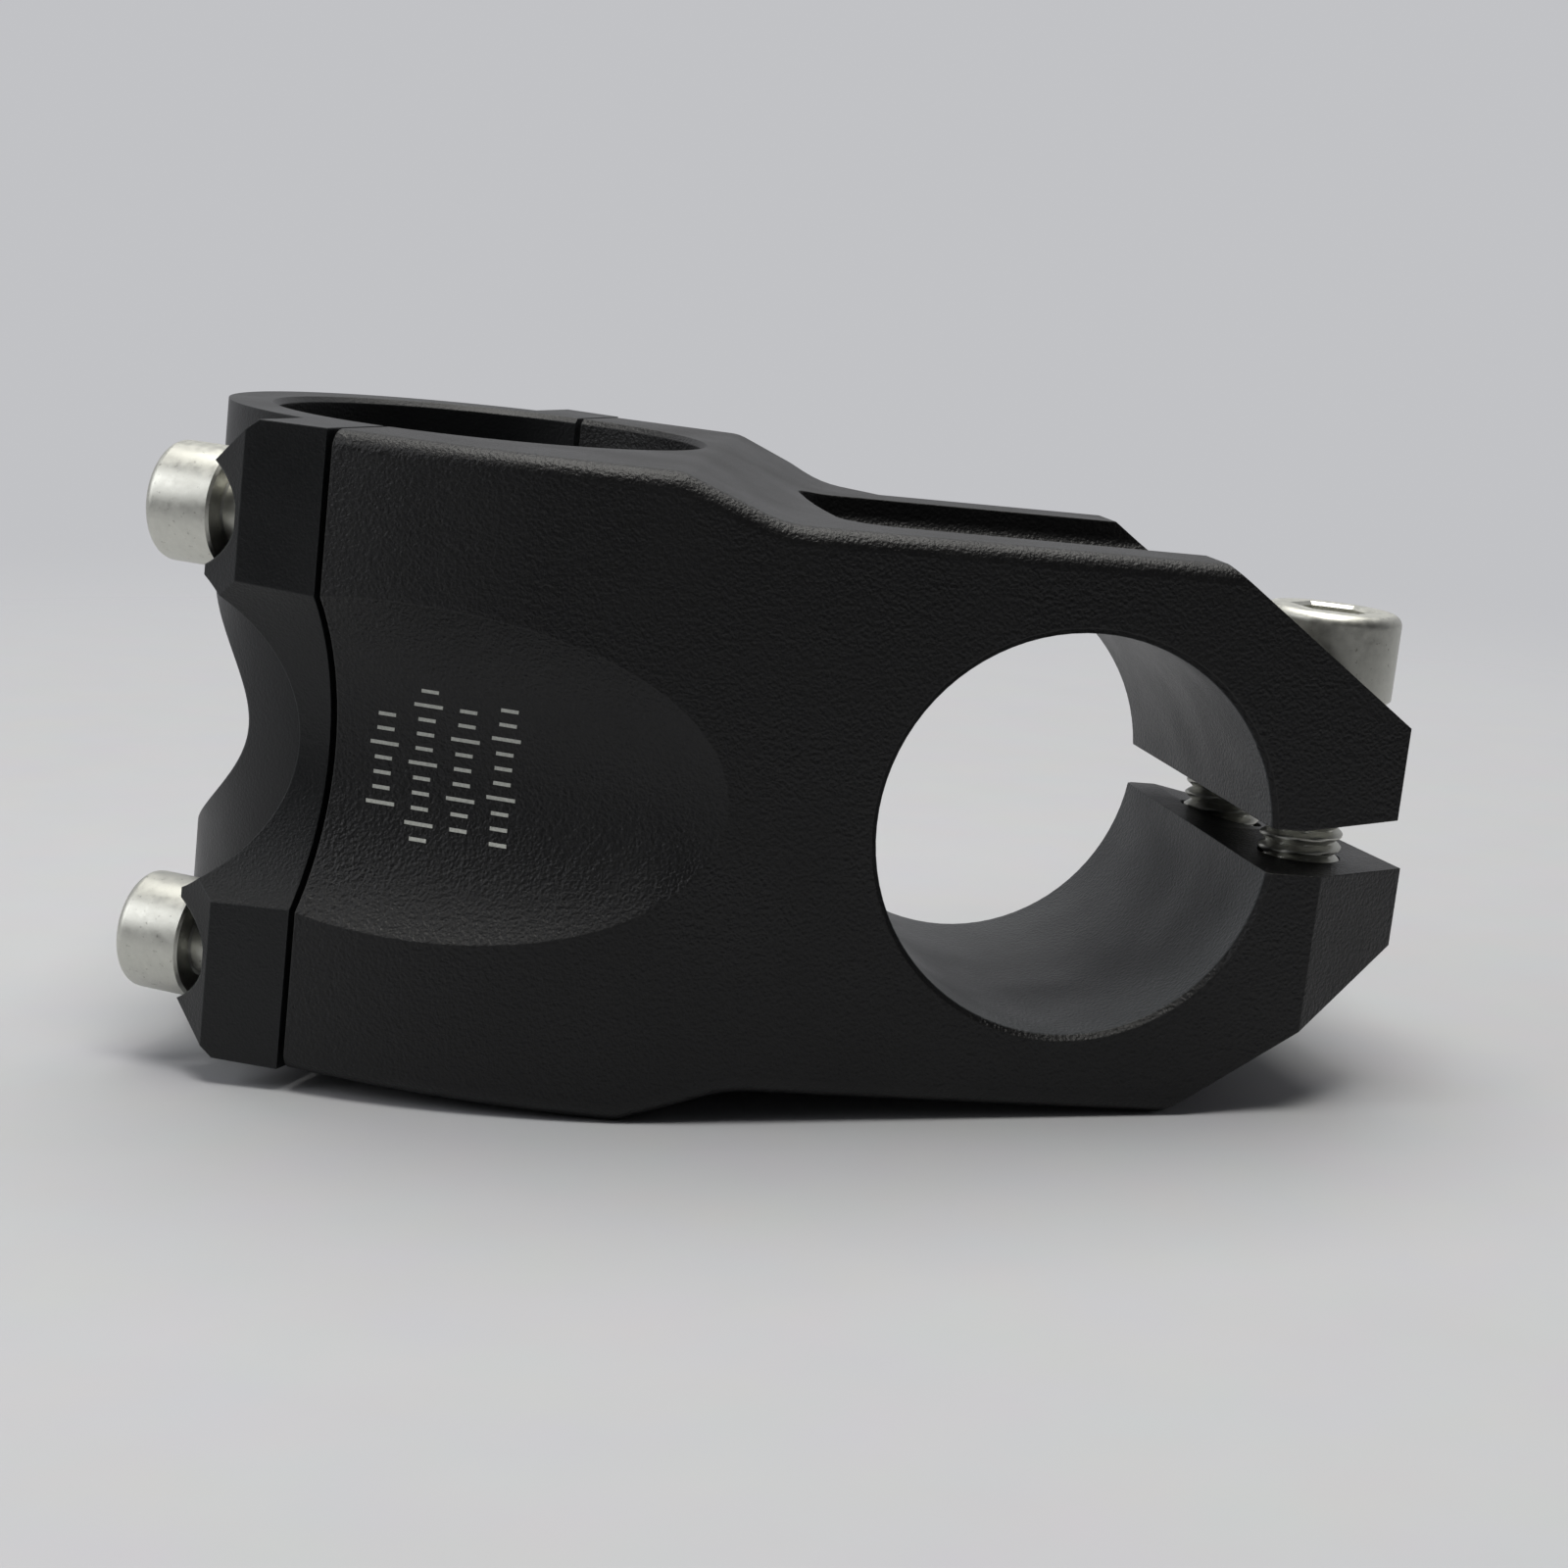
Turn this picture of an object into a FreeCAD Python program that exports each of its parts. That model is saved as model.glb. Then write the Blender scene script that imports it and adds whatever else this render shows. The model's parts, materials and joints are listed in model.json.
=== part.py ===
"""Bicycle handlebar stem lying on its side: split steerer clamp, short rising neck, four-bolt bar clamp.

Millimetres. Origin: middle of the steerer bore. +Y runs along the steerer bore towards the top of the stem,
+Z runs along the handlebar bore, and -X points forward, from the steerer to the handlebar.
"""

import FreeCAD, Part
import math
import os

V = FreeCAD.Vector
os.makedirs("parts", exist_ok=True)

# Steerer clamp
STEERER_R = 14.3
CLAMP_HALF_HEIGHT = 16.4
STEM_HALF_WIDTH = 19.8
SLIT_HALF_GAP = 1.6
EAR_LONG_X = 26.4
EAR_SHORT_X = 23.4
EAR_SLANT_X = 8.6
EAR_TOP_Z = 7.4
FACET_X = 18.3
FACET_DEPTH = 5.0
RELIEF_X = 16.6
RELIEF_ANGLE = math.radians(10.4)
TOP_SPOT_R = 17.6
BORE_CHAMFER = 0.4

# Handlebar clamp; its split plane leans by RISE from the steerer axis
BAR_R = 15.9
BAR_X = -40.0
BAR_Y = 14.0
BAR_HALF_WIDTH = 22.6
RISE = math.radians(32.0)
SPLIT_S = -0.1
SPLIT_GAP = 0.5
CLAMP_HALF_SPAN = 24.2
EDGE_FILLET = 1.3

# Neck
NECK_WIDE_X = -30.5
NECK_NARROW_X = -23.0
NECK_NEAR_X = -20.0
NECK_WAIST_R = 9.0
NECK_SHOULDER_R = 3.0
NECK_OVERLAP_X = -8.0
NECK_LEAN = 0.27
TOP_SHOULDER = (-15.5, 27.5)
TOP_SLOPE_FOOT_X = -10.0
POCKET_DEPTH = 2.4
POCKET_HALF_LENGTH = 10.6
POCKET_LEFT_X = -17.5
POCKET_RIGHT_X = 18.0
POCKET_CORNER_R = 4.0
POCKET_FLOOR_R = 1.2

# Long shallow dish in the underside, cut by a leaning cylinder
DISH_R = 17.7
DISH_DEEP = (-51.3, -2.9)
DISH_END = (-25.4, -15.9)
DISH_LEAD = 25.0
DISH_RUN_OUT = 8.0

# Faceplate
SHELL_WALL = 3.6
LOBE_FRONT_S = 9.7
LOBE_INNER_D = 13.5
LOBE_BULGE = (6.2, 25.0)
LOBE_FACET_D = 23.2
LOBE_CORNER_S = 4.4
LOBE_CORNER_Z = 3.6
SCALLOP_R = 12.5
SCALLOP_FLOOR_S = 2.7
WINDOW_HALF_D = 17.5
WINDOW_HALF_Z = 11.4
WINDOW_START_S = 4.2

# Fasteners: thread radius, head radius, head height, socket across flats, pitch
M5 = {"r": 2.5, "head_r": 4.3, "head_h": 5.3, "flats": 4.0, "pitch": 0.8}
M6 = {"r": 3.0, "head_r": 5.0, "head_h": 6.4, "flats": 5.0, "pitch": 1.0}
THREAD_DEPTH_PITCHES = 0.55
THREAD_CLEARANCE = 0.05
SHANK_CLEARANCE = 0.3
FACE_BOLT_D = 19.6
FACE_BOLT_Z = 15.7
FACE_BOLT_BACKED_OFF = 2.7
FACE_SEAT_S = 6.7
FACE_BOLT_LENGTH = 18.0
COUNTERBORE_R = 5.2
PINCH_X = 19.6
PINCH_Y = 8.4
PINCH_SEAT_Z = 10.3
PINCH_LENGTH = 20.0
SPOT_FACE_R = 5.6
TAPPED_DEPTH = 12.5
THREAD_START = 3.0
HEAD_EDGE_R = 0.8

# FAR reaches past every face, NEAR_ENOUGH tells edges and faces apart when one is picked by its place
FAR = 80.0
NEAR_ENOUGH = 0.05
NORMAL = V(-math.cos(RISE), math.sin(RISE), 0)
SPAN = V(-math.sin(RISE), -math.cos(RISE), 0)
BAR = V(BAR_X, BAR_Y, 0)
Y_AXIS = V(0, 1, 0)
Z_AXIS = V(0, 0, 1)


def clamp_point(s, d, z=0.0):
    """A point s ahead of the bar axis along the bolts and d down the split plane."""
    return BAR + NORMAL * s + SPAN * d + V(0, 0, z)


def closed_face(edges):
    return Part.Face(Part.Wire(edges))


def prism(points, direction):
    return Part.Face(Part.makePolygon(points + [points[0]])).extrude(direction)


def cylinder(radius, length, start, direction):
    return Part.makeCylinder(radius, length, start, direction)


def clamp_block(s_low, s_high, d_low, d_high, half_z):
    corners = [
        clamp_point(s_low, d_low, -half_z),
        clamp_point(s_high, d_low, -half_z),
        clamp_point(s_high, d_high, -half_z),
        clamp_point(s_low, d_high, -half_z),
    ]
    return prism(corners, V(0, 0, 2 * half_z))


def mirror_z(shape):
    return shape.mirror(V(0, 0, 0), Z_AXIS)


def dish_cutter():
    """The leaning cylinder that dishes the underside of both clamp halves."""
    deep = V(DISH_DEEP[0], DISH_DEEP[1], 0)
    end = V(DISH_END[0], DISH_END[1], 0)
    along = (end - deep).normalize()
    outward = along.cross(Z_AXIS)
    if outward.y > 0:
        outward = outward * -1
    start = deep + outward * DISH_R - along * DISH_LEAD
    return cylinder(DISH_R, DISH_LEAD + (end - deep).Length + DISH_RUN_OUT, start, along)


def side_profile():
    """The stem seen along the handlebar, up to the split plane."""
    under = clamp_point(SPLIT_S, CLAMP_HALF_SPAN)
    over = clamp_point(SPLIT_S, -CLAMP_HALF_SPAN)
    foot = V(NECK_NEAR_X, -CLAMP_HALF_HEIGHT, 0)
    chord = foot - under
    lean = math.atan2(-chord.y, chord.x)
    radius = chord.Length / (2 * math.sin(lean))
    centre = foot + V(0, radius, 0)
    middle = centre + V(-math.sin(lean), -math.cos(lean), 0) * radius
    right_low = V(EAR_LONG_X, -CLAMP_HALF_HEIGHT, 0)
    right_high = V(EAR_LONG_X, CLAMP_HALF_HEIGHT, 0)
    slope_foot = V(TOP_SLOPE_FOOT_X, CLAMP_HALF_HEIGHT, 0)
    shoulder = V(TOP_SHOULDER[0], TOP_SHOULDER[1], 0)
    return closed_face([
        Part.Arc(under, middle, foot).toShape(),
        Part.makeLine(foot, right_low),
        Part.makeLine(right_low, right_high),
        Part.makeLine(right_high, slope_foot),
        Part.makeLine(slope_foot, shoulder),
        Part.makeLine(shoulder, over),
        Part.makeLine(over, under),
    ])


def symmetric_prism(half_outline, start_y, direction):
    """Extrudes an outline given as (x, z) points on the +Z side and repeated on the -Z side."""
    upper = [V(x, start_y, z) for x, z in half_outline]
    lower = [V(x, start_y, -z) for x, z in reversed(half_outline)]
    return prism(upper + lower, direction)


def plan_prism():
    """The stem seen along the steerer, as a tall prism. The wide neck leans back towards the top."""
    clamp = symmetric_prism([
        (EAR_LONG_X, EAR_TOP_Z),
        (EAR_SLANT_X, STEM_HALF_WIDTH),
        (-FAR, STEM_HALF_WIDTH),
    ], -FAR, V(0, 2 * FAR, 0))
    to_near_face = (FAR - CLAMP_HALF_HEIGHT) * NECK_LEAN
    neck = symmetric_prism([
        (NECK_OVERLAP_X - to_near_face, STEM_HALF_WIDTH),
        (NECK_NARROW_X - to_near_face, STEM_HALF_WIDTH),
        (NECK_WIDE_X - to_near_face, BAR_HALF_WIDTH),
        (-2 * FAR, BAR_HALF_WIDTH),
    ], -FAR, V(NECK_LEAN * 2 * FAR, 2 * FAR, 0))
    for x, radius in ((NECK_NARROW_X, NECK_WAIST_R), (NECK_WIDE_X, NECK_SHOULDER_R)):
        start_x = x - to_near_face
        corners = [e for e in neck.Edges if e.Length > 2 * FAR and abs(start_vertex_x(e) - start_x) < NEAR_ENOUGH]
        neck = neck.makeFillet(radius, corners)
    return clamp.fuse(neck).removeSplitter()


def start_vertex_x(edge):
    """X of the end of a leaning edge that lies towards the underside."""
    return min(edge.Vertexes, key=lambda vertex: vertex.Y).X


def outer_body():
    """The forged outside of the body with its long edges rounded, before any machining."""
    width = 2 * FAR
    profile = side_profile()
    profile.translate(V(0, 0, -width / 2))
    solid = profile.extrude(V(0, 0, width)).common(plan_prism())
    solid = solid.Solids[0]
    long_edges = [e for e in solid.Edges if is_rounded(e)]
    return solid.makeFillet(EDGE_FILLET, long_edges)


def is_rounded(edge):
    """True for the outside edges between the two end faces and the sides of the stem."""
    middle = edge.valueAt((edge.FirstParameter + edge.LastParameter) / 2)
    on_split = abs((middle - BAR).dot(NORMAL) - SPLIT_S) < NEAR_ENOUGH
    on_side = abs(middle.z) > EAR_TOP_Z
    along_y = abs(edge.tangentAt(edge.FirstParameter).cross(Y_AXIS).Length) < 2 * NECK_LEAN
    return on_side and not on_split and not along_y and middle.x < EAR_SLANT_X - NEAR_ENOUGH


def rim_chamfer(radius, start, direction):
    """A cone that breaks the edge of a bore, from its mouth inwards."""
    return Part.makeCone(radius + BORE_CHAMFER, radius, BORE_CHAMFER, start, direction)


def steerer_cuts():
    bore = cylinder(STEERER_R, 2 * FAR, Y_AXIS * -FAR, Y_AXIS)
    slit = Part.makeBox(FAR, 2 * FAR, 2 * SLIT_HALF_GAP, V(0, -FAR, -SLIT_HALF_GAP))
    cuts = [bore, slit]
    cuts.append(cylinder(TOP_SPOT_R, FAR, Y_AXIS * CLAMP_HALF_HEIGHT, Y_AXIS))
    for side in (-1, 1):
        cuts.append(rim_chamfer(STEERER_R, V(0, side * CLAMP_HALF_HEIGHT, 0), Y_AXIS * -side))
    return cuts


def ear_facets():
    """What is cut from the ears. The two are alike, one turned half a turn about the X axis."""
    near = CLAMP_HALF_HEIGHT
    threaded_corner = prism([
        V(FACET_X, -near, 0),
        V(EAR_LONG_X, -near, 0),
        V(EAR_LONG_X, -near + FACET_DEPTH, 0),
    ], V(0, 0, -FAR))
    leaning_end = prism([
        V(EAR_LONG_X, -near + FACET_DEPTH, 0),
        V(EAR_LONG_X + FAR, -near + FACET_DEPTH, 0),
        V(EAR_LONG_X + FAR, near, 0),
        V(EAR_SHORT_X, near, 0),
    ], V(0, 0, -FAR))
    rise = math.tan(RELIEF_ANGLE) * (EAR_LONG_X - RELIEF_X)
    slit_relief = prism([
        V(RELIEF_X, 0, -SLIT_HALF_GAP),
        V(EAR_LONG_X, 0, -SLIT_HALF_GAP),
        V(EAR_LONG_X, 0, -SLIT_HALF_GAP - rise),
    ], V(0, near, 0))
    lower = [threaded_corner, leaning_end, slit_relief]
    upper = [cut.mirror(V(0, 0, 0), Z_AXIS).mirror(V(0, 0, 0), Y_AXIS) for cut in lower]
    return lower + upper


def pinch_cuts():
    """Clearance hole, spot face and threaded hole of the two opposed pinch bolts."""
    cuts = []
    for y, side in ((-PINCH_Y, 1), (PINCH_Y, -1)):
        up = V(0, 0, side)
        centre = V(PINCH_X, y, 0)
        cuts.append(cylinder(M6["r"] + SHANK_CLEARANCE, FAR, centre, up))
        cuts.append(cylinder(M6["r"] + THREAD_CLEARANCE, FAR, centre, up * -1))
        cuts.append(cylinder(SPOT_FACE_R, FAR, centre + up * PINCH_SEAT_Z, up))
    return cuts


def side_pocket():
    """The rounded lightening pocket in the upper side of the steerer clamp."""
    length = POCKET_RIGHT_X - POCKET_LEFT_X
    floor = V(POCKET_LEFT_X, -POCKET_HALF_LENGTH, STEM_HALF_WIDTH - POCKET_DEPTH)
    box = Part.makeBox(length, 2 * POCKET_HALF_LENGTH, 3 * POCKET_DEPTH, floor)
    upright = [e for e in box.Edges if e.tangentAt(e.FirstParameter).cross(Z_AXIS).Length < NEAR_ENOUGH]
    box = box.makeFillet(POCKET_CORNER_R, upright)
    rim = [e for e in box.Edges if max(v.Z for v in e.Vertexes) < floor.z + NEAR_ENOUGH]
    return box.makeFillet(POCKET_FLOOR_R, rim)


def bar_cuts():
    bore = cylinder(BAR_R, 2 * FAR, BAR - Z_AXIS * FAR, Z_AXIS)
    cuts = [bore]
    for side in (-1, 1):
        cuts.append(rim_chamfer(BAR_R, BAR + Z_AXIS * side * BAR_HALF_WIDTH, Z_AXIS * -side))
    return cuts


def face_bolt_places():
    """Name and axis point, on the bar's centre plane, of each faceplate bolt."""
    places = {}
    for height, z in (("upper", FACE_BOLT_Z), ("lower", -FACE_BOLT_Z)):
        for depth, d in (("near", FACE_BOLT_D), ("far", -FACE_BOLT_D)):
            places["faceplate_bolt_" + height + "_" + depth] = clamp_point(0, d, z)
    return places


def stem_body():
    solid = outer_body()
    cuts = steerer_cuts() + ear_facets() + pinch_cuts() + bar_cuts() + [dish_cutter()]
    cuts += [side_pocket(), mirror_z(side_pocket())]
    for place in face_bolt_places().values():
        cuts.append(cylinder(M5["r"] + THREAD_CLEARANCE, TAPPED_DEPTH, place + NORMAL * SPLIT_S, NORMAL * -1))
    for cutter in cuts:
        solid = solid.cut(cutter)
    return solid


def lobe_bar(side):
    """The long bar of the faceplate that carries two bolts; side is 1 underneath and -1 on top."""
    back = SPLIT_S + SPLIT_GAP
    outline = [
        (back, CLAMP_HALF_SPAN),
        LOBE_BULGE,
        (LOBE_FRONT_S, LOBE_FACET_D),
        (LOBE_FRONT_S, LOBE_INNER_D),
        (back, LOBE_INNER_D),
    ]
    points = [clamp_point(s, side * d, -BAR_HALF_WIDTH) for s, d in outline]
    bar = prism(points, V(0, 0, 2 * BAR_HALF_WIDTH))
    axis_point = clamp_point(SCALLOP_FLOOR_S + SCALLOP_R, 0) - SPAN * FAR
    bar = bar.cut(cylinder(SCALLOP_R, 2 * FAR, axis_point, SPAN))
    for end in (-1, 1):
        corner = [
            clamp_point(LOBE_FRONT_S, -FAR, end * BAR_HALF_WIDTH),
            clamp_point(LOBE_FRONT_S - LOBE_CORNER_S, -FAR, end * BAR_HALF_WIDTH),
            clamp_point(LOBE_FRONT_S, -FAR, end * (BAR_HALF_WIDTH - LOBE_CORNER_Z)),
        ]
        bar = bar.cut(prism(corner, SPAN * 2 * FAR))
    return bar


def window_cutter():
    """An oval opening through the middle of the faceplate, along the bolts."""
    start = clamp_point(WINDOW_START_S, 0)
    oval = Part.Ellipse(start + SPAN * WINDOW_HALF_D, start + Z_AXIS * WINDOW_HALF_Z, start)
    return closed_face([oval.toShape()]).extrude(NORMAL * FAR)


def faceplate():
    back = SPLIT_S + SPLIT_GAP
    shell = cylinder(BAR_R + SHELL_WALL, 2 * BAR_HALF_WIDTH, BAR - Z_AXIS * BAR_HALF_WIDTH, Z_AXIS)
    shell = shell.common(clamp_block(back, FAR, -FAR, FAR, BAR_HALF_WIDTH))
    solid = shell.fuse([lobe_bar(1), lobe_bar(-1)]).removeSplitter()
    cuts = bar_cuts() + [window_cutter(), dish_cutter()]
    for place in face_bolt_places().values():
        cuts.append(cylinder(M5["r"] + SHANK_CLEARANCE, FAR, place, NORMAL))
        cuts.append(cylinder(COUNTERBORE_R, FAR, place + NORMAL * FACE_SEAT_S, NORMAL))
    for cutter in cuts:
        solid = solid.cut(cutter)
    return solid


def cap_screw(size, length):
    """A socket cap screw along +Z with the underside of its head at Z = 0; the thread is rings."""
    crest = size["r"]
    root = crest - THREAD_DEPTH_PITCHES * size["pitch"]
    turns = int((length - THREAD_START) / size["pitch"])
    outline = [V(0, 0, size["head_h"])]
    outline.append(V(size["head_r"], 0, size["head_h"]))
    outline.append(V(size["head_r"], 0, 0))
    outline.append(V(crest, 0, 0))
    z = -(length - turns * size["pitch"])
    outline.append(V(crest, 0, z))
    for turn in range(turns):
        outline.append(V(root, 0, z - size["pitch"] * (turn + 0.5)))
        outline.append(V(crest, 0, z - size["pitch"] * (turn + 1)))
    outline[-1] = V(root, 0, -length)
    outline.append(V(0, 0, -length))
    outline.append(outline[0])
    screw = Part.Face(Part.makePolygon(outline)).revolve(V(0, 0, 0), Z_AXIS, 360)
    rim = V(size["head_r"], 0, size["head_h"])
    top = [e for e in screw.Edges if e.Closed and (e.Vertexes[0].Point - rim).Length < NEAR_ENOUGH]
    screw = screw.makeFillet(HEAD_EDGE_R, top)
    hexagon = []
    for corner in range(6):
        angle = math.radians(60 * corner)
        reach = size["flats"] / math.sqrt(3)
        hexagon.append(V(reach * math.cos(angle), reach * math.sin(angle), size["head_h"] / 2))
    return screw.cut(prism(hexagon, V(0, 0, size["head_h"])))


def placed(shape, point, direction):
    """A copy of a shape built along +Z, moved to a point and turned to a direction."""
    copy = shape.copy()
    copy.Placement = FreeCAD.Placement(point, FreeCAD.Rotation(Z_AXIS, direction))
    return copy


def main():
    nodes = {"stem_body": stem_body(), "faceplate": faceplate()}
    face_screw = cap_screw(M5, FACE_BOLT_LENGTH)
    for name, place in face_bolt_places().items():
        seat = place + NORMAL * (FACE_SEAT_S + FACE_BOLT_BACKED_OFF)
        nodes[name] = placed(face_screw, seat, NORMAL)
    pinch_screw = cap_screw(M6, PINCH_LENGTH)
    nodes["steerer_bolt_near"] = placed(pinch_screw, V(PINCH_X, -PINCH_Y, PINCH_SEAT_Z), Z_AXIS)
    nodes["steerer_bolt_far"] = placed(pinch_screw, V(PINCH_X, PINCH_Y, -PINCH_SEAT_Z), Z_AXIS * -1)
    for name, shape in nodes.items():
        solid = shape.Solids[0]
        solid.exportStep("parts/" + name + ".step")
        print(name, "solids", len(shape.Solids), "valid", solid.isValid(), "mm3", round(solid.Volume, 1))


main()
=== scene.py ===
# %% [markdown]
# # A handlebar stem on a pale studio table
# The stem is a bead-blasted, black anodised aluminium body with a split clamp at each end, and six
# zinc-plated cap screws. The aluminium shapes come from the CAD model and only get finishes here. The
# screws are built again as meshes, because their threads show in the clamp's slit and a real thread is a
# helix.

import json
import math

import bmesh
import bpy
from mathutils import Matrix, Vector


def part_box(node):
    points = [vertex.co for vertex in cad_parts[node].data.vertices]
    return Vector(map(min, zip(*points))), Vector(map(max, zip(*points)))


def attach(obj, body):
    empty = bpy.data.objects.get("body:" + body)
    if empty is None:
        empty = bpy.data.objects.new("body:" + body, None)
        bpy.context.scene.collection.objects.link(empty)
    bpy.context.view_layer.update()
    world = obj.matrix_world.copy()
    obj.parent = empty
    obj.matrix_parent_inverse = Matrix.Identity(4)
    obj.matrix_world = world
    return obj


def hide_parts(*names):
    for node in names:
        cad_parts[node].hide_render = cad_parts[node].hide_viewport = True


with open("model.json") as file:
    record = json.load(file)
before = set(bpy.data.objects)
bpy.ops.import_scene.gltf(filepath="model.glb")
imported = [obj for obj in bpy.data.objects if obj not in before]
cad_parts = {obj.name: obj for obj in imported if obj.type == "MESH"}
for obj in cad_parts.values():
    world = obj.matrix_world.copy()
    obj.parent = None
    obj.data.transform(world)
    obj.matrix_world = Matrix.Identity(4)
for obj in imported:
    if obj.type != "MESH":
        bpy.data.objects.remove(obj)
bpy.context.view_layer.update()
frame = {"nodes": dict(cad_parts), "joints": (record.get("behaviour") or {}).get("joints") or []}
MM = 0.001
print("CAD nodes:", ", ".join(sorted(frame["nodes"])))

# %% [markdown]
# Screen colours are written as sRGB hex values, which is how a maker's chart gives them. The shader works
# on linear light, so one function converts them, and nothing else in the script handles gamma.


# %% Turn an sRGB hex value into a linear colour
def colour(hex_value):
    channels = [int(hex_value[i : i + 2], 16) / 255 for i in (1, 3, 5)]
    linear = [c / 12.92 if c <= 0.04045 else ((c + 0.055) / 1.055) ** 2.4 for c in channels]
    return (*linear, 1.0)


print("mid grey #808080 is", round(colour("#808080")[0], 3), "in linear light")

# %% [markdown]
# Every finish below is a small network of shader nodes. One helper adds a node, sets it and links it, so
# that each material reads as a list of what it is made of.


# %% Add one shader node with its settings and links
def add(tree, kind, values=None, links=None, **settings):
    node = tree.nodes.new(kind)
    for name, value in settings.items():
        setattr(node, name, value)
    for name, value in (values or {}).items():
        node.inputs[name].default_value = value
    for name, socket in (links or {}).items():
        tree.links.new(socket, node.inputs[name])
    return node


def new_material(name):
    material = bpy.data.materials.new(name)
    material.use_nodes = True
    material.node_tree.nodes.clear()
    return material, material.node_tree


def finish_material(tree, shader):
    add(tree, "ShaderNodeOutputMaterial", links={"Surface": shader.outputs[0]})


def per_mm(size_mm):
    """Texture scale that repeats once in so many millimetres, for coordinates in metres."""
    return 1.0 / (size_mm * MM)


print("a 0.3 mm grain has texture scale", round(per_mm(0.3)))

# %% [markdown]
# ## Bead-blasted anodised aluminium
# The body is forged, machined, blasted with fine beads and dyed black in the anodising bath. Blasting
# leaves shallow craters about two tenths of a millimetre across, so the surface looks matte but glitters
# finely where light grazes it. The oxide layer is a dyed dielectric, so metallic is 0. Dye takes less
# well on sharp edges, and they get rubbed, so edges are a little greyer. A Bevel node finds them: where
# the rounded normal leaves the true one, there is an edge.

# %% The grain, the edges and the dye of the black finish
BLAST_MM = 0.17
PLATE_BLAST_MM = 0.14
PIT_GRAINS = 1.6
CLOUD_MM = 7.0
EDGE_MM = 0.16


def edge_wear(tree, radius_mm):
    """0 on flat faces and towards 1 on edges, with the softened normal that showed it."""
    soft = add(tree, "ShaderNodeBevel", {"Radius": radius_mm * MM}, samples=6)
    true = add(tree, "ShaderNodeNewGeometry")
    same = add(
        tree,
        "ShaderNodeVectorMath",
        links={0: soft.outputs["Normal"], 1: true.outputs["Normal"]},
        operation="DOT_PRODUCT",
    )
    worn = add(
        tree,
        "ShaderNodeMapRange",
        {"From Min": 0.995, "From Max": 0.80},
        {"Value": same.outputs["Value"]},
    )
    return worn.outputs["Result"], soft.outputs["Normal"]


def blasted_black(name, dark, light, edge, grain_mm, depth_mm, rough_low, rough_high, bore=None):
    material, tree = new_material(name)
    where = add(tree, "ShaderNodeTexCoord").outputs["Object"]
    craters = add(
        tree,
        "ShaderNodeTexNoise",
        {"Scale": per_mm(grain_mm), "Detail": 2.0, "Roughness": 0.55},
        {"Vector": where},
    )
    pits = add(
        tree,
        "ShaderNodeTexVoronoi",
        {"Scale": per_mm(grain_mm * PIT_GRAINS)},
        {"Vector": where},
        feature="SMOOTH_F1",
    )
    cloud = add(
        tree,
        "ShaderNodeTexNoise",
        {"Scale": per_mm(CLOUD_MM), "Detail": 3.0},
        {"Vector": where},
    )
    height = add(
        tree,
        "ShaderNodeMath",
        links={0: craters.outputs[0], 1: pits.outputs["Distance"]},
        operation="ADD",
    )
    dye = add(
        tree,
        "ShaderNodeMix",
        {6: colour(dark), 7: colour(light)},
        {0: craters.outputs[0]},
        data_type="RGBA",
    )
    worn, soft_normal = edge_wear(tree, EDGE_MM)
    patchy = add(
        tree,
        "ShaderNodeMath",
        links={0: worn, 1: cloud.outputs[0]},
        operation="MULTIPLY",
    )
    skin = add(
        tree,
        "ShaderNodeMix",
        {7: colour(edge)},
        {0: patchy.outputs[0], 6: dye.outputs[2]},
        data_type="RGBA",
    )
    roughness = add(
        tree,
        "ShaderNodeMapRange",
        {"From Min": 0.3, "From Max": 0.7, "To Min": rough_low, "To Max": rough_high},
        {"Value": cloud.outputs[0]},
    )
    surface = skin.outputs[2]
    # The bore hook paints the steerer bore's wall greyer: partly its machined surface, partly a painted
    # sheen.
    if bore:
        surface = bore(tree, where, surface, craters.outputs[0])
    relief = add(
        tree,
        "ShaderNodeBump",
        {"Strength": 0.9, "Distance": depth_mm * MM},
        {"Height": height.outputs[0], "Normal": soft_normal},
    )
    shader = add(
        tree,
        "ShaderNodeBsdfPrincipled",
        {"IOR": 1.42, "Metallic": 0.0},
        {
            "Base Color": surface,
            "Roughness": roughness.outputs["Result"],
            "Normal": relief.outputs["Normal"],
        },
    )
    finish_material(tree, shader)
    return material


print("blast craters are", BLAST_MM, "mm wide on the body and", PLATE_BLAST_MM, "mm on the faceplate")

# %% [markdown]
# The steerer bore is reamed after blasting and anodised with it, so its wall is a little greyer than the
# outside; the rest of its lighter grey is a painted sheen, standing for the grazing light from above. The
# small chamfer at its mouth keeps the outer finish. The wall is picked out by its distance from the bore's
# axis, which is the frame's Y axis, so the mask needs no painting.

# %% Grey wall and painted sheen for the steerer bore
STEERER_R_MM = 14.3
BORE_SKIN_MM = 0.05


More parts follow.
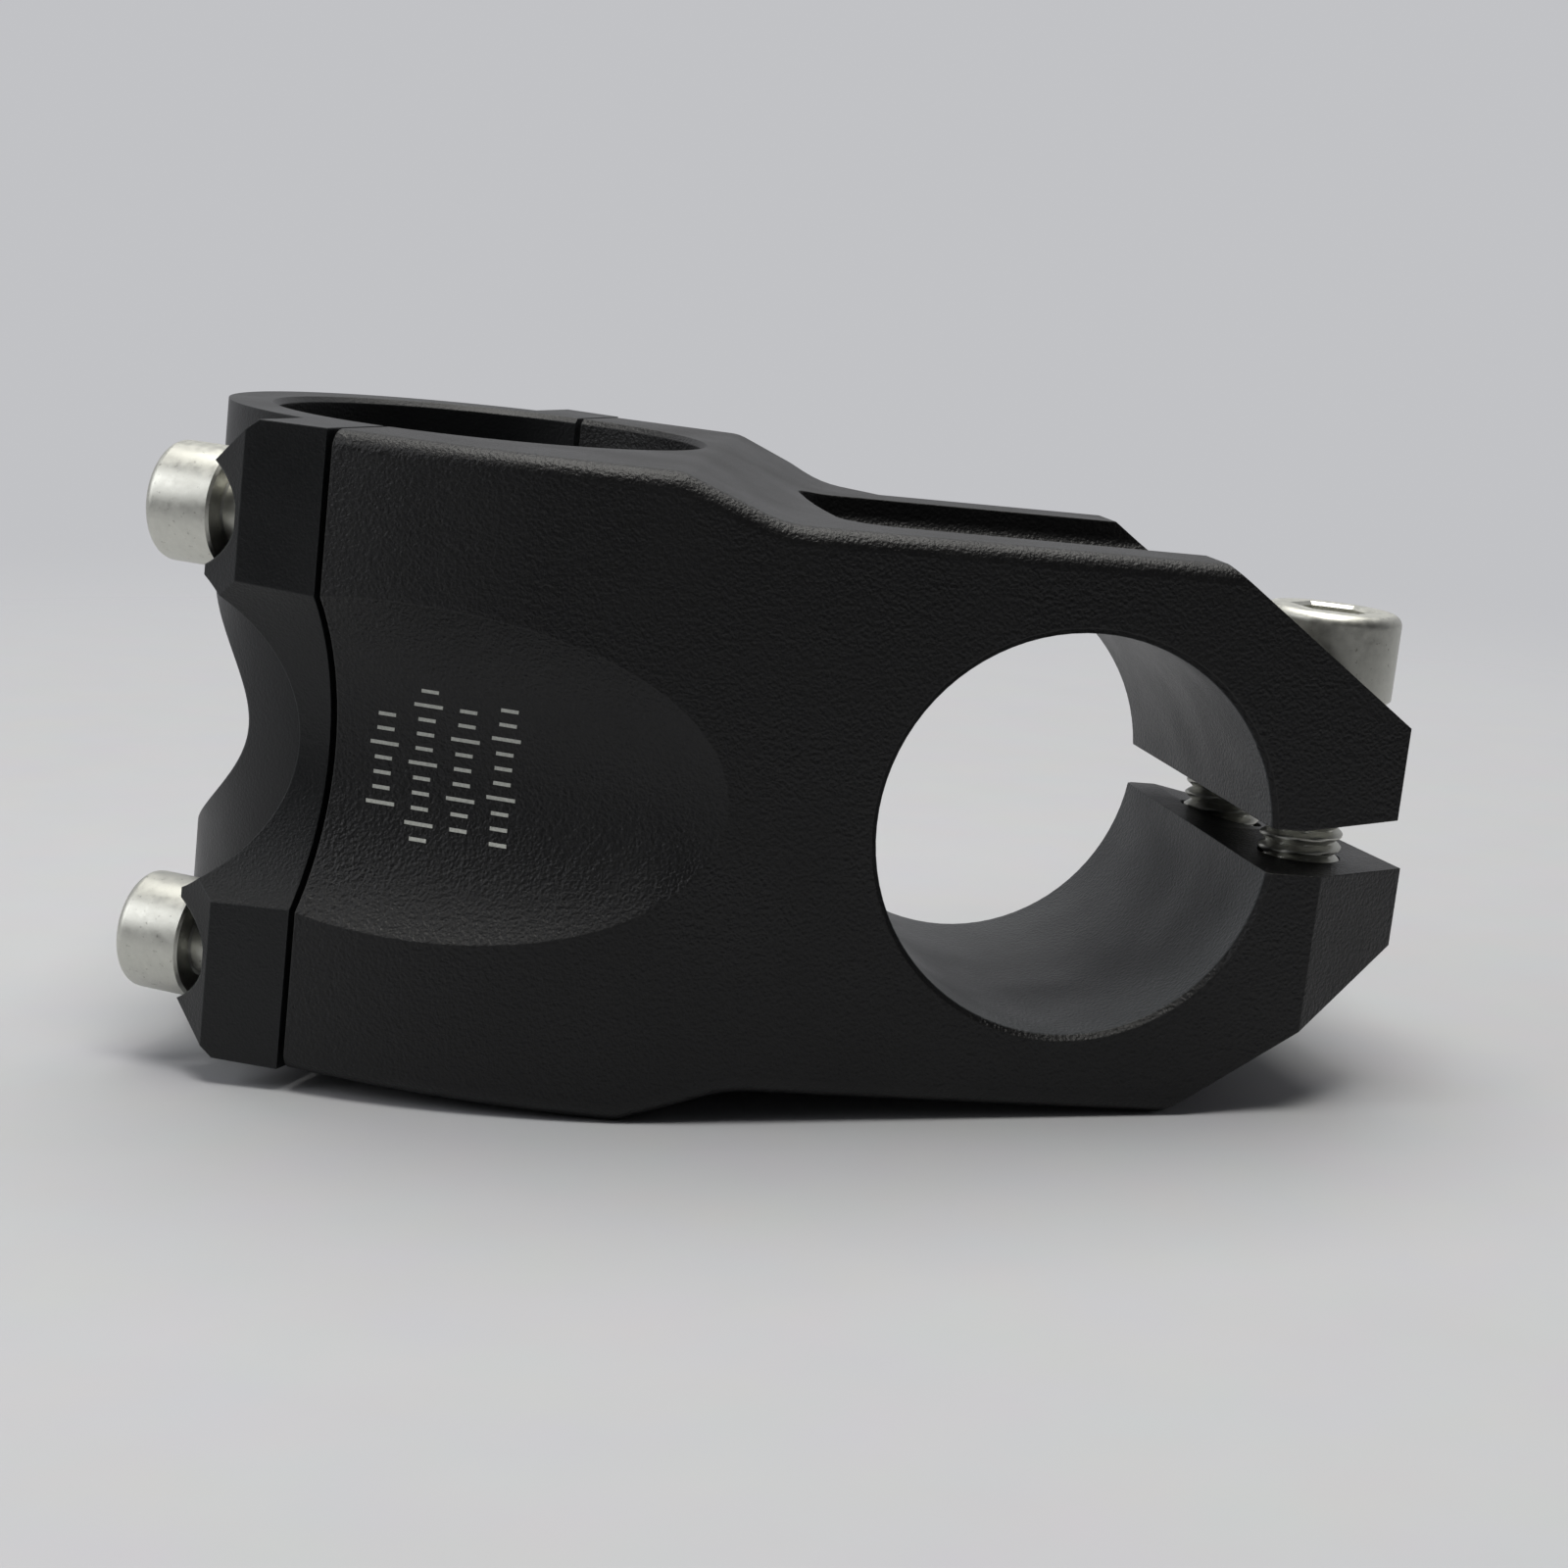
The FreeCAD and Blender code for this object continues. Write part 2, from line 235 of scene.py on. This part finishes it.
def bore_grey_and_painted_sheen(tree, where, surface, grain):
    parts = add(tree, "ShaderNodeSeparateXYZ", links={0: where})
    flat = add(
        tree,
        "ShaderNodeCombineXYZ",
        links={"X": parts.outputs["X"], "Y": parts.outputs["Z"]},
    )
    radius = add(tree, "ShaderNodeVectorMath", links={0: flat.outputs[0]}, operation="LENGTH")
    inside = add(
        tree,
        "ShaderNodeMath",
        {1: (STEERER_R_MM + BORE_SKIN_MM) * MM},
        {0: radius.outputs["Value"]},
        operation="LESS_THAN",
    )
    # Painted sheen: this grey is partly the wall's machined surface and partly stands for grazing light on
    # it.
    wall_grey_and_sheen = add(
        tree,
        "ShaderNodeMix",
        {6: colour("#242628"), 7: colour("#4c4f51")},
        {0: grain},
        data_type="RGBA",
    )
    mixed = add(
        tree,
        "ShaderNodeMix",
        links={0: inside.outputs[0], 6: surface, 7: wall_grey_and_sheen.outputs[2]},
        data_type="RGBA",
    )
    return mixed.outputs[2]


body_finish = blasted_black(
    "blasted_black_anodised_aluminium",
    dark="#040405",
    light="#0d0d0e",
    edge="#42423f",
    grain_mm=BLAST_MM,
    depth_mm=0.060,
    rough_low=0.38,
    rough_high=0.48,
    bore=bore_grey_and_painted_sheen,
)
plate_finish = blasted_black(
    "satin_black_anodised_aluminium",
    dark="#060708",
    light="#0f1113",
    edge="#474b4c",
    grain_mm=PLATE_BLAST_MM,
    depth_mm=0.022,
    rough_low=0.36,
    rough_high=0.46,
)
for node, finish in (("stem_body", body_finish), ("faceplate", plate_finish)):
    slots = frame["nodes"][node].data.materials
    slots.clear()
    slots.append(finish)
print("finished:", body_finish.name, "and", plate_finish.name)

# %% [markdown]
# ## Zinc-plated steel
# The screws are cold-formed steel with a thin, dull zinc plating. It reflects like metal, but blurred,
# with small cloudy patches where the plating crystals differ and a few darker specks from handling. Zinc
# is a slightly warm light grey.

# %% The finish of the screws
ZINC_CLOUD_MM = 0.7
ZINC_SPECK_MM = 0.32


def zinc_plated_steel():
    material, tree = new_material("zinc_plated_steel")
    where = add(tree, "ShaderNodeTexCoord").outputs["Object"]
    cloud = add(
        tree,
        "ShaderNodeTexNoise",
        {"Scale": per_mm(ZINC_CLOUD_MM), "Detail": 4.0, "Roughness": 0.65},
        {"Vector": where},
    )
    speck = add(
        tree,
        "ShaderNodeTexNoise",
        {"Scale": per_mm(ZINC_SPECK_MM), "Detail": 1.0},
        {"Vector": where},
    )
    plating = add(
        tree,
        "ShaderNodeMix",
        {6: colour("#b4b4ac"), 7: colour("#dcdcd4")},
        {0: cloud.outputs[0]},
        data_type="RGBA",
    )
    stain = add(
        tree,
        "ShaderNodeMapRange",
        {"From Min": 0.68, "From Max": 0.80, "To Max": 0.55},
        {"Value": speck.outputs[0]},
    )
    stained = add(
        tree,
        "ShaderNodeMix",
        {7: colour("#77746c")},
        {0: stain.outputs["Result"], 6: plating.outputs[2]},
        data_type="RGBA",
    )
    roughness = add(
        tree,
        "ShaderNodeMapRange",
        {"From Min": 0.3, "From Max": 0.7, "To Min": 0.34, "To Max": 0.50},
        {"Value": cloud.outputs[0]},
    )
    relief = add(
        tree,
        "ShaderNodeBump",
        {"Strength": 0.5, "Distance": 0.012 * MM},
        {"Height": cloud.outputs[0]},
    )
    shader = add(
        tree,
        "ShaderNodeBsdfPrincipled",
        {"Metallic": 1.0},
        {
            "Base Color": stained.outputs[2],
            "Roughness": roughness.outputs["Result"],
            "Normal": relief.outputs["Normal"],
        },
    )
    finish_material(tree, shader)
    return material


screw_finish = zinc_plated_steel()
print("plating clouds are", ZINC_CLOUD_MM, "mm wide")

# %% [markdown]
# ## Socket cap screws
# A cap screw is round everywhere except for its hexagon socket, and its thread is one groove wound round
# the shank. Both can be made as a stack of rings with the same number of corners: a ring gives the radius
# and the height at each angle, and quads join it to the next. A hexagon is a ring whose radius changes
# with the angle, and the helix is rings whose radius depends on the angle and the height together. This
# keeps the screw one closed mesh with no boolean cuts.

# %% Sizes of the two screws, in millimetres
M5 = {"r": 2.5, "head_r": 4.3, "head_h": 5.3, "flats": 4.0, "pitch": 0.8, "length": 18.0}
M6 = {"r": 3.0, "head_r": 5.0, "head_h": 6.4, "flats": 5.0, "pitch": 1.0, "length": 20.0}
CORNERS = 60
STEPS_PER_PITCH = 8
THREAD_DEPTH_PITCHES = 0.55
THREAD_START = 3.0
HEAD_EDGE_R = 0.8
SOCKET_LEAD = 0.25


def thread_radius(size, angle, z):
    """Radius of a right-hand thread: it winds up along +Z as the angle grows."""
    turn = z / size["pitch"] - angle / (2 * math.pi)
    ridge = 1 - abs(2 * (turn % 1) - 1)
    depth = THREAD_DEPTH_PITCHES * size["pitch"]
    end_taper = min(1.0, (z + size["length"]) / size["pitch"])
    start_fade = min(1.0, max(0.0, (-THREAD_START - z) / size["pitch"]))
    groove = depth * (1 - min(1.0, 1.25 * ridge)) * start_fade
    return size["r"] - groove - 0.5 * depth * (1 - end_taper)


def hexagon_radius(size, angle, grow=0.0):
    """Radius of the socket's hexagon at an angle."""
    from_flat = (angle + math.pi / 6) % (math.pi / 3) - math.pi / 6
    return (size["flats"] / 2 + grow) / math.cos(from_flat)


# %% Stack the rings of a screw into one closed mesh
def screw_rings(size):
    """Each ring is a function from the angle to (radius, z), from the tip up and down into the socket."""
    rings = []
    steps = int((size["length"] - THREAD_START + size["pitch"]) / size["pitch"] * STEPS_PER_PITCH)
    for step in range(steps + 1):
        z = -size["length"] + step * size["pitch"] / STEPS_PER_PITCH
        rings.append(lambda a, z=z: (thread_radius(size, a, z), z))
    head_r, head_h = size["head_r"], size["head_h"]
    fixed = [(size["r"], -0.15), (size["r"] + 0.15, 0.0), (head_r - 0.2, 0.0), (head_r, 0.2)]
    for part in range(7):
        turn = math.radians(90 * part / 6)
        bend = HEAD_EDGE_R * (1 - math.cos(turn))
        fixed.append((head_r - bend, head_h - HEAD_EDGE_R + HEAD_EDGE_R * math.sin(turn)))
    for radius, z in fixed:
        rings.append(lambda a, r=radius, z=z: (r, z))
    rings.append(lambda a: (hexagon_radius(size, a, SOCKET_LEAD), head_h))
    rings.append(lambda a: (hexagon_radius(size, a), head_h - SOCKET_LEAD))
    rings.append(lambda a: (hexagon_radius(size, a), head_h / 2))
    rings.append(lambda a: (size["flats"] * 0.42, head_h / 2 - 0.1))
    return rings


def screw_mesh(name, size):
    bm = bmesh.new()
    loops = []
    for ring in screw_rings(size):
        loop = []
        for corner in range(CORNERS):
            angle = 2 * math.pi * corner / CORNERS
            radius, z = ring(angle)
            point = Vector((radius * math.cos(angle), radius * math.sin(angle), z))
            loop.append(bm.verts.new(point * MM))
        loops.append(loop)
    for low, high in zip(loops, loops[1:]):
        for i in range(CORNERS):
            j = (i + 1) % CORNERS
            bm.faces.new((low[i], low[j], high[j], high[i]))
    for loop, z in ((loops[0], -size["length"] - 0.05), (loops[-1], size["head_h"] / 2 - 0.9)):
        centre = bm.verts.new((0, 0, z * MM))
        for i in range(CORNERS):
            j = (i + 1) % CORNERS
            bm.faces.new((centre, loop[j], loop[i]) if loop is loops[0] else (centre, loop[i], loop[j]))
    bmesh.ops.recalc_face_normals(bm, faces=bm.faces)
    mesh = bpy.data.meshes.new(name)
    bm.to_mesh(mesh)
    bm.free()
    mesh.shade_smooth()
    mesh.set_sharp_from_angle(angle=math.radians(32))
    return mesh


face_screw = screw_mesh("m5_cap_screw", M5)
pinch_screw = screw_mesh("m6_cap_screw", M6)
print("M5 screw:", len(face_screw.polygons), "faces; M6 screw:", len(pinch_screw.polygons), "faces")

# %% [markdown]
# The CAD model knows where each screw is. A faceplate screw's joint gives the point under its head and
# its axis; a pinch screw slides along its joint's axis, and its box gives the rest. The new meshes stand
# for the CAD nodes and ride on the same bodies, so they move with the joints.


# %% Put the screws in their places
def place_screw(node, mesh, size, turn_deg):
    joint = next(j for j in frame["joints"] if j["child"] == node)
    axis = Vector(joint["axis"]).normalized()
    low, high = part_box(node)
    if joint["type"] == "hinge":
        seat = Vector(joint["pos_m"])
    else:
        top = high if axis.z > 0 else low
        seat = Vector(((low.x + high.x) / 2, (low.y + high.y) / 2, top.z)) - axis * size["head_h"] * MM
    piece = bpy.data.objects.new(node + "_threaded", mesh)
    bpy.context.scene.collection.objects.link(piece)
    turn = axis.to_track_quat("Z", "Y").to_matrix() @ Matrix.Rotation(math.radians(turn_deg), 3, "Z")
    piece.matrix_world = Matrix.Translation(seat) @ turn.to_4x4()
    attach(piece, node)
    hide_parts(node)
    print(node, "seat at, mm:", [round(v / MM, 1) for v in seat])


for mesh in (face_screw, pinch_screw):
    mesh.materials.append(screw_finish)
places = ("upper_near", "upper_far", "lower_near", "lower_far")
for number, place in enumerate(places):
    place_screw("faceplate_bolt_" + place, face_screw, M5, turn_deg=17 * number)
place_screw("steerer_bolt_near", pinch_screw, M6, turn_deg=11)
place_screw("steerer_bolt_far", pinch_screw, M6, turn_deg=40)

# %% [markdown]
# ## Laser marking in the dish
# The underside dish carries four lines of fine, pale laser marking. Here they are plain strokes, like a
# setting scale: laser marking bleaches the dye and has no thickness to speak of, so each stroke is a thin
# pad that follows the dish, which is a shallow trough cut by a leaning cylinder. Rays cast onto the body
# find the surface, so the pads lie on it whatever its shape.

# %% Lay the strokes on the dish
MARK_LIFT = 0.012 * MM
STROKE_WIDTH = 0.26 * MM
STROKE_PITCH = 1.05 * MM
FIRST_ROW_X = -47.4 * MM
ROW_PITCH = 2.66 * MM
ROW_HALF_LENGTHS = (3.4, 5.3, 4.4, 5.2)
LONG_STROKE = 1.9 * MM
SHORT_STROKE = 1.15 * MM


def surface_point(x, z):
    """The point of the body's underside at x and z, lifted by the marking's thickness."""
    hit, place, normal, _ = frame["nodes"]["stem_body"].ray_cast(Vector((x, -0.1, z)), Vector((0, 1, 0)))
    if not hit:
        raise ValueError("no surface under a stroke")
    return place + normal * MARK_LIFT


def stroke(bm, x, z, length):
    across = 2
    along = 5
    grid = []
    for i in range(along + 1):
        row = []
        for j in range(across + 1):
            dx = (i / along - 0.5) * length
            dz = (j / across - 0.5) * STROKE_WIDTH
            row.append(bm.verts.new(surface_point(x + dx, z + dz)))
        grid.append(row)
    for i in range(along):
        for j in range(across):
            bm.faces.new((grid[i][j], grid[i + 1][j], grid[i + 1][j + 1], grid[i][j + 1]))


marks = bmesh.new()
count = 0
for row, half_mm in enumerate(ROW_HALF_LENGTHS):
    strokes = int(2 * half_mm * MM / STROKE_PITCH) + 1
    for number in range(strokes):
        z = (number - (strokes - 1) / 2) * STROKE_PITCH
        length = LONG_STROKE if number % 4 == row % 4 else SHORT_STROKE
        stroke(marks, FIRST_ROW_X + row * ROW_PITCH, z, length)
        count += 1
mark_mesh = bpy.data.meshes.new("laser_strokes")
marks.to_mesh(mark_mesh)
marks.free()
laser_marks = bpy.data.objects.new("laser_strokes", mark_mesh)
bpy.context.scene.collection.objects.link(laser_marks)
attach(laser_marks, "stem_body")
print(count, "strokes in", len(ROW_HALF_LENGTHS), "rows")


# %% The bleached dye of the strokes
def bleached_dye():
    material, tree = new_material("laser_bleached_anodising")
    where = add(tree, "ShaderNodeTexCoord").outputs["Object"]
    grain = add(
        tree,
        "ShaderNodeTexNoise",
        {"Scale": per_mm(BLAST_MM), "Detail": 1.0},
        {"Vector": where},
    )
    pale = add(
        tree,
        "ShaderNodeMix",
        {6: colour("#9a9c96"), 7: colour("#d6d8d0")},
        {0: grain.outputs[0]},
        data_type="RGBA",
    )
    shader = add(
        tree,
        "ShaderNodeBsdfPrincipled",
        {"Roughness": 0.7},
        {"Base Color": pale.outputs[2]},
    )
    finish_material(tree, shader)
    return material


mark_mesh.materials.append(bleached_dye())
print("marking material:", mark_mesh.materials[0].name)

# %% [markdown]
# ## Table, light and camera
# The stem lies on a pale sheet, resting on the neck's corner and the side of the steerer clamp, so the
# sheet is about four degrees off the stem's own level. The neck leans, and towards the back its corner
# sinks into the sheet by under a millimetre. The sheet is painted darker near the stem and lighter
# further out, which is painted light for the brighter lit wall behind. Towards its rim it fades into the
# room, so there is no horizon. Soft light comes from above and a little behind: the faces that look up go
# grey and the side towards the camera stays nearly black. A weaker box in front and above lifts the dish
# and the screw heads.

# %% The pale sheet
SHEET_TILT_DEG = 4.1
SHEET_TOUCH = Vector((-30.5, 0.0, -22.65)) * MM
SHEET_R = 0.60


def pale_sheet():
    material, tree = new_material("matte_grey_paper")
    where = add(tree, "ShaderNodeTexCoord").outputs["Object"]
    far_off = add(tree, "ShaderNodeVectorMath", links={0: where}, operation="LENGTH")
    # This share both fades the sheet out and sets the painted light on it.
    fade_and_painted_light = add(
        tree,
        "ShaderNodeMapRange",
        {"From Min": 0.11, "From Max": 0.34},
        {"Value": far_off.outputs["Value"]},
        interpolation_type="SMOOTHSTEP",
    )
    fibre = add(tree, "ShaderNodeTexNoise", {"Scale": per_mm(9.0), "Detail": 3.0}, {"Vector": where})
    # Painted light: the paper is darker near the stem and lighter further out, standing for the brighter lit
    # wall behind it.
    painted_light_tone = add(
        tree,
        "ShaderNodeMix",
        {6: colour("#b6b7ba"), 7: colour("#cdced1")},
        {0: fade_and_painted_light.outputs["Result"]},
        data_type="RGBA",
    )
    paper = add(
        tree,
        "ShaderNodeMix",
        {0: 0.03},
        {6: painted_light_tone.outputs[2], 7: fibre.outputs[1]},
        data_type="RGBA",
    )
    shader = add(tree, "ShaderNodeBsdfPrincipled", {"Roughness": 0.85}, {"Base Color": paper.outputs[2]})
    nothing = add(tree, "ShaderNodeBsdfTransparent")
    faded = add(
        tree,
        "ShaderNodeMixShader",
        links={0: fade_and_painted_light.outputs["Result"], 1: shader.outputs[0], 2: nothing.outputs[0]},
    )
    finish_material(tree, faded)
    return material


sheet_bm = bmesh.new()
bmesh.ops.create_circle(sheet_bm, cap_ends=True, segments=96, radius=SHEET_R)
sheet_mesh = bpy.data.meshes.new("paper_sheet")
sheet_bm.to_mesh(sheet_mesh)
sheet_bm.free()
sheet_mesh.materials.append(pale_sheet())
sheet = bpy.data.objects.new("paper_sheet", sheet_mesh)
bpy.context.scene.collection.objects.link(sheet)
sheet.matrix_world = Matrix.Translation(SHEET_TOUCH) @ Matrix.Rotation(math.radians(-SHEET_TILT_DEG), 4, "Y")
print("sheet radius, m:", SHEET_R)


# %% Soft boxes and the room
def soft_box(name, place, aim, width, height, watts, tint):
    data = bpy.data.lights.new(name, "AREA")
    data.shape = "RECTANGLE"
    data.size, data.size_y = width, height
    data.energy = watts
    data.color = colour(tint)[:3]
    lamp = bpy.data.objects.new(name, data)
    bpy.context.scene.collection.objects.link(lamp)
    lamp.location = place
    lamp.rotation_mode = "QUATERNION"
    lamp.rotation_quaternion = (Vector(aim) - Vector(place)).to_track_quat("-Z", "Y")


soft_box("overhead", (-0.02, 0.16, 0.52), (0, 0.02, 0), 0.55, 0.40, 2.2, "#fffdf8")
soft_box("left_fill", (-0.45, -0.04, 0.20), (-0.03, 0, 0), 0.25, 0.30, 0.60, "#fbfcff")
soft_box("front_high", (-0.06, -0.13, 0.50), (-0.03, 0, 0), 0.24, 0.16, 1.30, "#fffdf8")

world = bpy.data.worlds.new("studio_room")
bpy.context.scene.world = world
world.use_nodes = True
room = world.node_tree
room.nodes.clear()
seen = add(room, "ShaderNodeLightPath")
around = add(room, "ShaderNodeTexCoord")
direction = add(room, "ShaderNodeSeparateXYZ", links={0: around.outputs["Generated"]})
behind = add(
    room,
    "ShaderNodeMapRange",
    {"From Min": -0.5, "From Max": 0.7, "To Min": 0.05, "To Max": 0.50},
    {"Value": direction.outputs["Y"]},
)
strength = add(
    room,
    "ShaderNodeMix",
    {3: 0.56},
    {0: seen.outputs["Is Camera Ray"], 2: behind.outputs["Result"]},
)
glow = add(room, "ShaderNodeBackground", {"Color": colour("#fafbff")}, {"Strength": strength.outputs[0]})
add(room, "ShaderNodeOutputWorld", links={"Surface": glow.outputs[0]})
bpy.context.scene.view_settings.view_transform = "Standard"

# %% The camera
lens = bpy.data.cameras.new("camera")
lens.lens = 67.5
lens.sensor_width = 36.0
lens.shift_x = 0.005
lens.shift_y = 0.0169
camera = bpy.data.objects.new("camera", lens)
bpy.context.scene.collection.objects.link(camera)
camera.location = Vector((-62.84, -208.24, 38.23)) * MM
camera.rotation_euler = [math.radians(a) for a in (79.036, -6.215, -10.949)]
lens.clip_start = 0.01
bpy.context.scene.camera = camera
print("camera is", round(camera.location.length / MM), "mm from the steerer bore")
